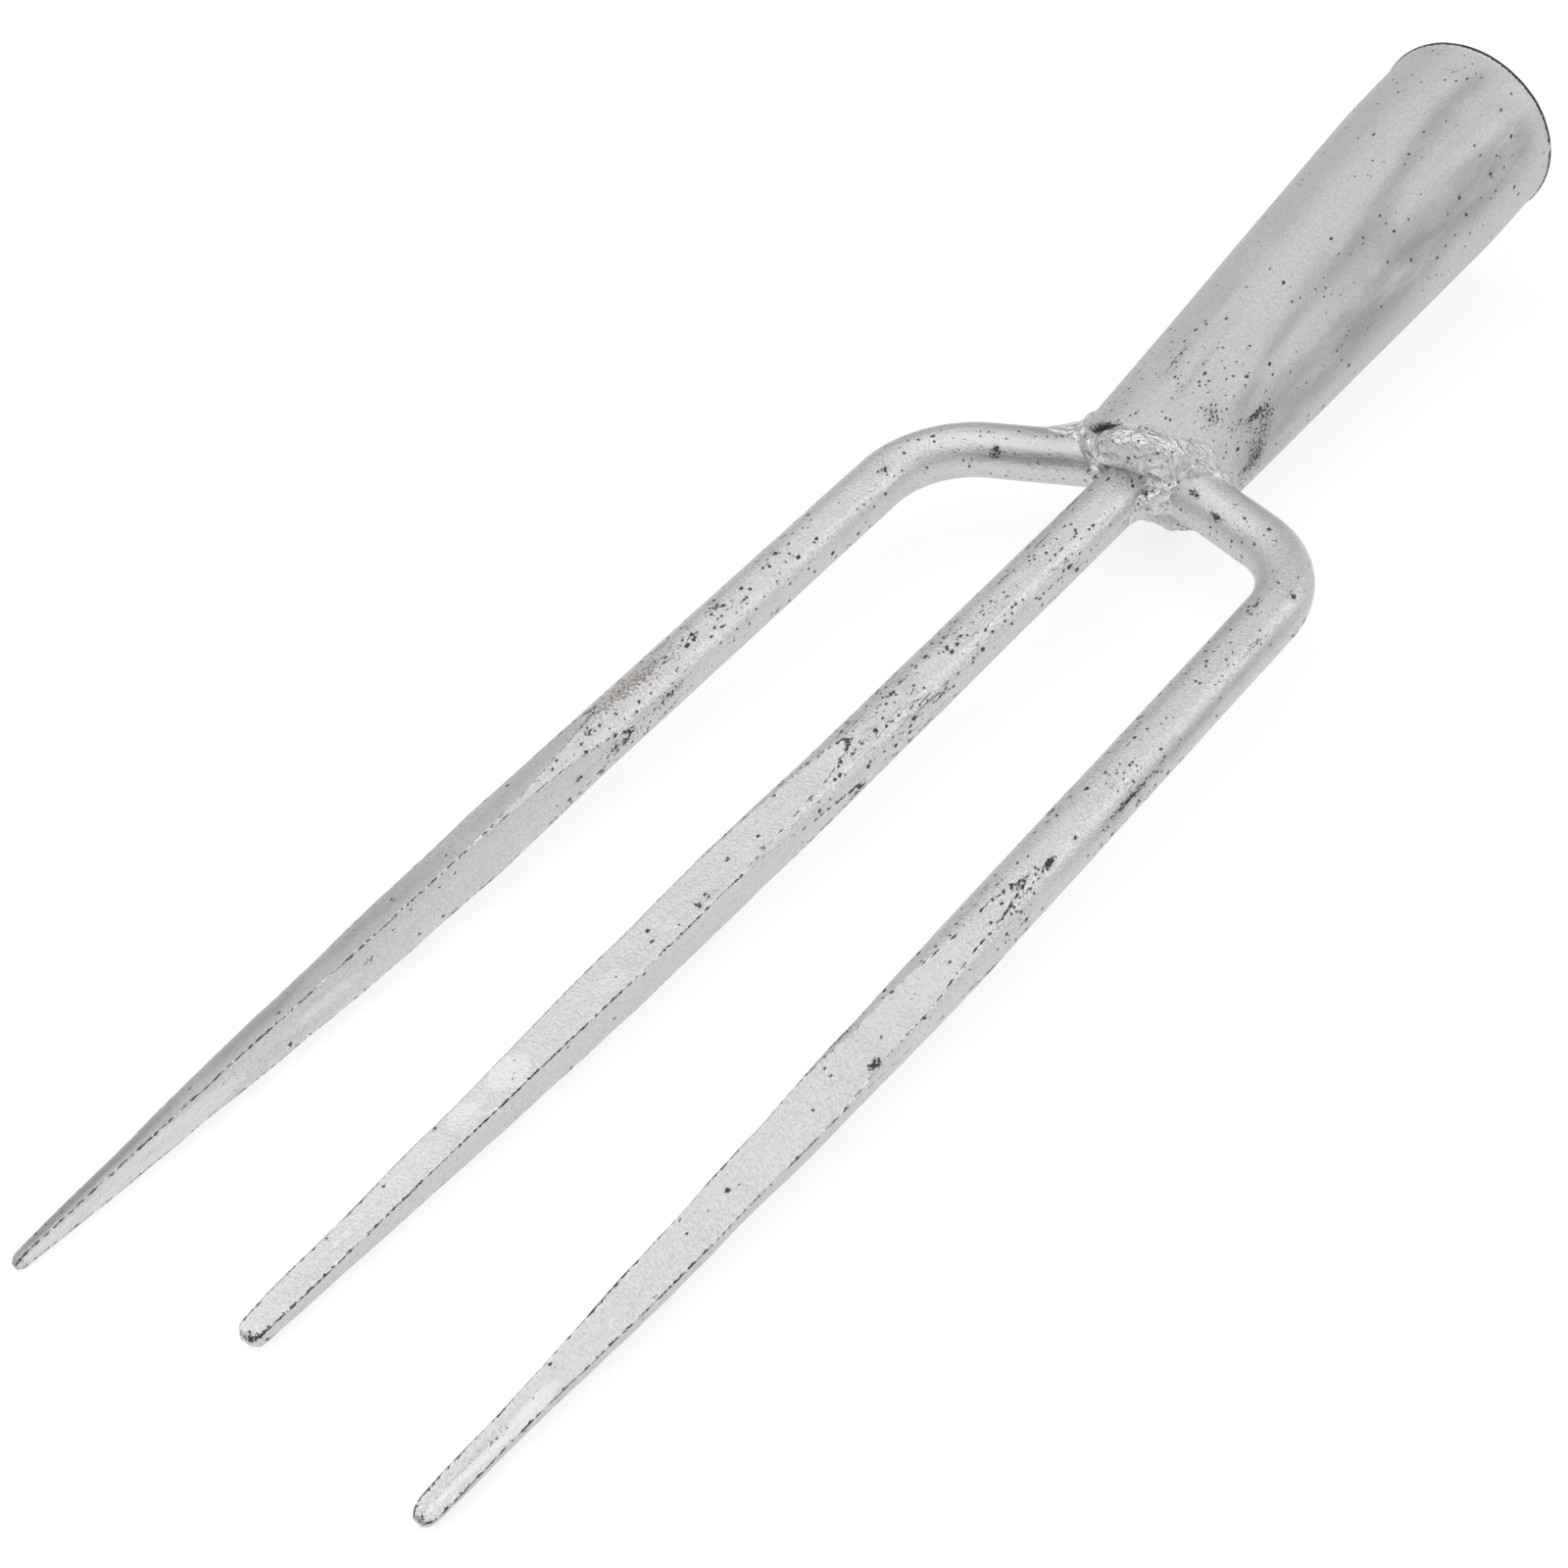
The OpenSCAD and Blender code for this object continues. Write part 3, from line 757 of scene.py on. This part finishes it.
front_drops = drops_along([toe_point(*row) for row in TOE], 3.4, 1.2, 1, jitter=0.05)
front_rows = [  # the radius of its drops, then the row's points from left to right
    (3.4, [(-12, -136.6, 8.2), (-7, -139.4, 10.6), (0, -140.7, 11.4), (7, -139.4, 10.6), (13, -136.4, 8.4)]),
    (3.2, [(-10, -141.0, 7.4), (-5, -143.4, 9.4), (0, -144.0, 10.2), (5, -143.4, 9.6), (10, -141.0, 8.0),
           (14, -138.0, 6.4)]),
    (2.4, [(-11, -141.6, 6.0), (-6, -142.8, 6.2), (0, -142.2, 7.2), (5, -142.4, 6.2), (10, -140.8, 6.2),
           (15, -139.0, 5.6), (18, -137.0, 4.6)]),
    (2.6, [(-7.2, -143.0, 4.6), (-6.6, -145.8, 3.6)]),
    (2.1, [(5.6, -143.6, 5.2), (7.0, -145.4, 4.2), (7.9, -146.4, 3.2), (9.6, -144.8, 4.0),
           (11.6, -142.6, 4.8)]),
    (4.0, [(-23.5, -142.3, 3.0), (-20.0, -140.7, 3.5), (-15.8, -138.8, 4.6), (-12.3, -138.0, 6.4)]),
    (4.5, [(-12, -136.0, 4.0), (0, -134.5, 6.0), (12, -136.0, 4.0)])]
for number, (radius, row) in enumerate(front_rows):
    front_drops += drops_along(row, radius, 0.5 * radius, number + 2, jitter=0.07)
# Dark pits, with painted shade in the weld's hollow and crevices.
FRONT_PITS_AND_PAINTED_SHADE = [  # x, y, z, reach, strength
    (-5.5, -143.8, 14.4, 2.0, 0.75), (-1.5, -144.6, 15.0, 1.4, 0.6), (3.4, -142.4, 16.2, 1.1, 0.6),
    (8.6, -142.5, 9.6, 0.8, 0.95), (8.6, -143.0, 6.9, 0.7, 0.9), (-11.3, -142.7, 7.0, 1.6, 0.75),
    (-8.5, -143.0, 7.8, 1.1, 0.6), (6.6, -147.6, 4.8, 0.9, 0.72), (8.2, -146.8, 5.7, 0.8, 0.66),
    (10.4, -145.4, 5.4, 0.9, 0.72), (12.7, -145.4, 4.5, 0.9, 0.7), (-5.4, -147.8, 5.0, 0.7, 0.8)]
# Painted highlights: pale patches painted into the weld's colour on its brightest folds.
FRONT_PAINTED_HIGHLIGHTS = [
    (-6, -143.4, 10.0, 4.5, 0.9), (0, -144.4, 10.6, 3.2, 0.7), (7, -142.8, 11.6, 2.5, 0.5),
    (12, -141.7, 7.9, 2.0, 0.6)]
front_weld = make_weld("front_weld_bead", front_drops, "front_weld", seed=2.0,
                       marks=FRONT_PITS_AND_PAINTED_SHADE, bright=FRONT_PAINTED_HIGHLIGHTS)

# %% [markdown]
# The back weld can't be seen from above, but the joint needs it: a bead round the lower half of
# the tube's end, over weld metal that fills the end between the arms.

# %% The back weld
back_ring = [toe_point(a, -132.0, 16.4) for a in range(205, 336, 10)]
back_drops = drops_along(back_ring, 2.6, 2.0, 11)
for ring in (12.5, 8.5, 4.5):
    fill = [(ring * math.cos(math.radians(a)), -131.2, ring * math.sin(math.radians(a)) + 0.4)
            for a in range(195, 346, 30)]
    back_drops += drops_along(fill, 3.0, 2.6, 12 + ring)
back_weld = make_weld("back_weld_bead", back_drops, "back_weld", seed=7.0)


# %% [markdown]
# In the crotch between the middle tine and each arm the weld is a hollow fillet. Its drops lie
# on an arc, so that the skin between the two bars is a smooth inside curve.

# %% The welds in the crotches
def crotch_drops(side, hollow, reach, radius, lift, seed):
    centre = Vector((BAR_R + hollow, -10.0 - hollow))
    points = []
    for degrees in range(190, reach, -12):
        a = math.radians(degrees)
        x = centre.x + (hollow + radius) * math.cos(a)
        y = centre.y + (hollow + radius) * math.sin(a)
        points.append(tuple(in_tine_plane(x * side, y, lift)))
    return drops_along(points, radius, 1.6, seed, jitter=0.04)


right_crotch = make_weld("right_crotch_fillet", crotch_drops(1, 8.7, 76, 3.2, -0.6, 21), "right_crotch_weld",
                         passes=6, lump=0.05, seed=3.0)
left_crotch = make_weld("left_crotch_fillet", crotch_drops(-1, 4.5, 76, 2.8, -1.5, 22), "left_crotch_weld",
                        passes=6, lump=0.05, seed=4.0)

# %% [markdown]
# ## A plain studio
# The fork lies on a pale floor, on the weld behind its socket and the tips of its outer tines,
# so the floor slopes a little in the fork's own frame. Silver paint shows whatever is round it,
# so the light matters more than the colour: a pale room, a dim front, one soft bright window
# on the far right, and a floor that glows a little, as a light table does.

# %% Floor
WELD_REST = (-132.1, -18.92)  # y and z of the lowest place on the weld behind the socket
TIP_REST = (-413.1, 16.02)  # and under the tip of an outer tine
FLOOR_SLOPE = math.atan2(TIP_REST[1] - WELD_REST[1], WELD_REST[0] - TIP_REST[0])


print("the floor slopes by", round(math.degrees(FLOOR_SLOPE), 2), "degrees")


def make_floor():
    sheet = bmesh.new()
    under = Vector((0, WELD_REST[0], WELD_REST[1] - 0.15))
    turn = Matrix.Translation(under * MM) @ Matrix.Rotation(-FLOOR_SLOPE, 4, "X")
    bmesh.ops.create_grid(sheet, x_segments=2, y_segments=2, size=6.0, matrix=turn)
    mesh = bpy.data.meshes.new("floor")
    sheet.to_mesh(mesh)
    sheet.free()
    floor = bpy.data.objects.new("floor", mesh)
    bpy.context.scene.collection.objects.link(floor)
    pale = bpy.data.materials.new("pale_floor")
    pale.use_nodes = True
    surface = pale.node_tree.nodes["Principled BSDF"]
    surface.inputs["Base Color"].default_value = grey(0.4)
    surface.inputs["Roughness"].default_value = 0.9
    surface.inputs["Emission Color"].default_value = grey(1.0)
    to_eye = add_node(pale.node_tree, "ShaderNodeLightPath").outputs["Is Camera Ray"]
    glow = math_node(pale.node_tree, "ADD", math_node(pale.node_tree, "MULTIPLY", to_eye, 0.26), 0.46)
    pale.node_tree.links.new(glow, surface.inputs["Emission Strength"])
    mesh.materials.append(pale)
    return floor


floor = make_floor()

# %% [markdown]
# The room is lit without lamps: each row adds one soft glow to the world, from one direction.
# A negative strength takes light away, which gives the paint something darker to reflect.

# %% Room light
ROOM_LIGHTS = [  # direction it comes from, how tight it is, strength
    ((0.68, 0.62, 0.38), 0.955, 1.85), ((-0.10, -0.15, 1.0), 0.45, 0.72),
    ((-1.0, 0.15, 0.35), 0.70, 0.22), ((0.0, 0.9, 0.40), 0.75, 0.24),
    ((1.0, -0.3, 0.30), 0.70, 0.12), ((-0.20, -1.0, 0.14), 0.70, -0.30)]


def make_room(ambient=0.30):
    world = bpy.data.worlds.new("room")
    bpy.context.scene.world = world
    world.use_nodes = True
    tree = world.node_tree
    tree.nodes.clear()
    toward = add_node(tree, "ShaderNodeTexCoord").outputs["Generated"]
    total = None
    for direction, tight, strength in ROOM_LIGHTS:
        facing = add_node(tree, "ShaderNodeVectorMath", {"operation": "DOT_PRODUCT"})
        tree.links.new(toward, facing.inputs[0])
        facing.inputs[1].default_value = Vector(direction).normalized()
        spread = ramp_between(tree, facing.outputs["Value"], tight, tight + (1 - tight) * 0.75)
        glow = math_node(tree, "MULTIPLY", spread, strength)
        total = glow if total is None else math_node(tree, "ADD", total, glow)
    total = math_node(tree, "MAXIMUM", math_node(tree, "ADD", total, ambient), 0.04)
    camera_ray = add_node(tree, "ShaderNodeLightPath").outputs["Is Camera Ray"]
    seen = add_node(tree, "ShaderNodeMix", {"data_type": "FLOAT"})
    tree.links.new(camera_ray, seen.inputs[0])
    tree.links.new(total, seen.inputs[2])
    seen.inputs[3].default_value = 0.9
    shine = add_node(tree, "ShaderNodeBackground", Color=grey(1.0), Strength=seen.outputs[0])
    out = tree.nodes.new("ShaderNodeOutputWorld")
    tree.links.new(shine.outputs[0], out.inputs["Surface"])


make_room()
bpy.context.scene.view_settings.view_transform = "Standard"
print("glows in the room:", len(ROOM_LIGHTS))

# %% [markdown]
# ## The camera
# The camera stands to the right of the fork, above its tips, about 0.7 m away.

# %% Camera
camera_data = bpy.data.cameras.new("camera")
camera_data.lens = 70.12
camera_data.sensor_width = 36
camera = bpy.data.objects.new("camera", camera_data)
camera.location = (0.30156, -0.53825, 0.41506)
camera.rotation_euler = [math.radians(a) for a in (45.07, 9.975, 37.478)]
bpy.context.scene.collection.objects.link(camera)
bpy.context.scene.camera = camera
print("the camera is", round(camera.location.length, 2), "m from the socket's mouth")
